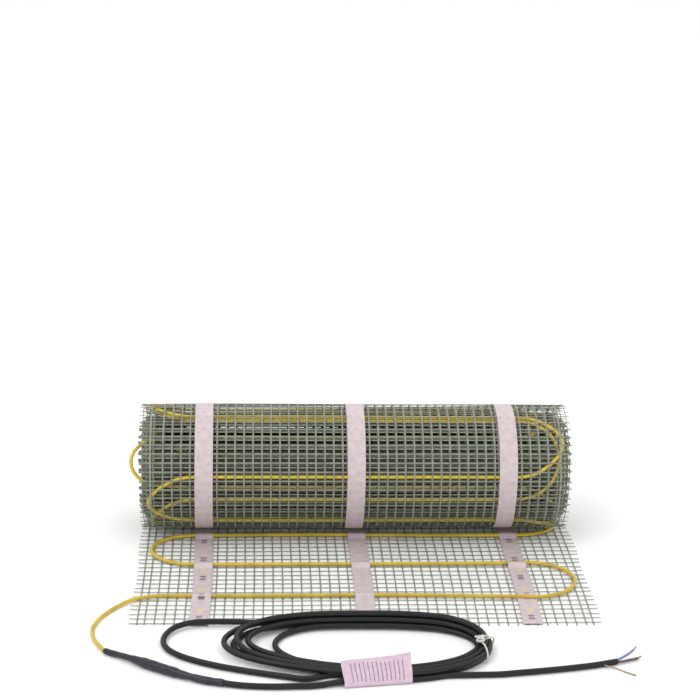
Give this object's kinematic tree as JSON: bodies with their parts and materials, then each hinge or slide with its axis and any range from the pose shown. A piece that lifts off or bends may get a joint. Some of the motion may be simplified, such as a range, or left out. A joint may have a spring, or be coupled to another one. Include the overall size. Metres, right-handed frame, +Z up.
{
  "type": "underfloor heating mat",
  "caption": "Part-rolled underfloor heating mat: glass-fibre net, yellow heating cable, tapes, joint sleeve and coiled black cold lead.",
  "frame": {"origin": "bottom centre of the mat as it lies on the floor, without its free lead", "axes": "+X along the roll's axis, +Y from the free end of the mat towards the roll, +Z up"},
  "size_m": [0.542, 0.4468, 0.1405],
  "materials": {
    "net": "resin-coated glass-fibre threads, grey-green, matt with a faint gloss",
    "tape": "thin off-white adhesive tape, slightly pink, with faint creases from the threads",
    "heating_cable": "smooth yellow cable sheath",
    "joint_sleeve": "bluish black heat-shrink sleeve, glossy, slightly lumpy",
    "cold_lead": "satin black cable sheath",
    "core_brown": "brown core insulation with a bare copper tip",
    "core_blue": "blue core insulation with a bare copper tip",
    "bare_copper": "twisted bare tinned copper earth wire",
    "label_paper": "pale pink paper label with faint creases",
    "clear_tie": "milky plastic tie"
  },
  "bodies": {
    "root": {"rolled_mat": "net", "net_left_edge": "net", "net_left_bay": "net", "net_right_bay": "net", "net_right_edge": "net", "floor_tape_left": "tape", "floor_tape_middle": "tape", "floor_tape_right": "tape", "top_tape_left": "tape", "top_tape_middle": "tape", "top_tape_right": "tape", "roll_tape_left": "tape", "roll_tape_middle": "tape", "roll_tape_right": "tape", "heating_cable": "heating_cable", "yellow_lead": "heating_cable", "joint_sleeve": "joint_sleeve", "lead_start": "cold_lead", "lead_wide_loop": "cold_lead", "lead_coil": "cold_lead", "lead_end": "cold_lead", "core_brown": "core_brown", "core_blue": "core_blue", "core_earth": "bare_copper", "lead_label": "label_paper", "coil_tie": "clear_tie"}
  },
  "joints": []
}
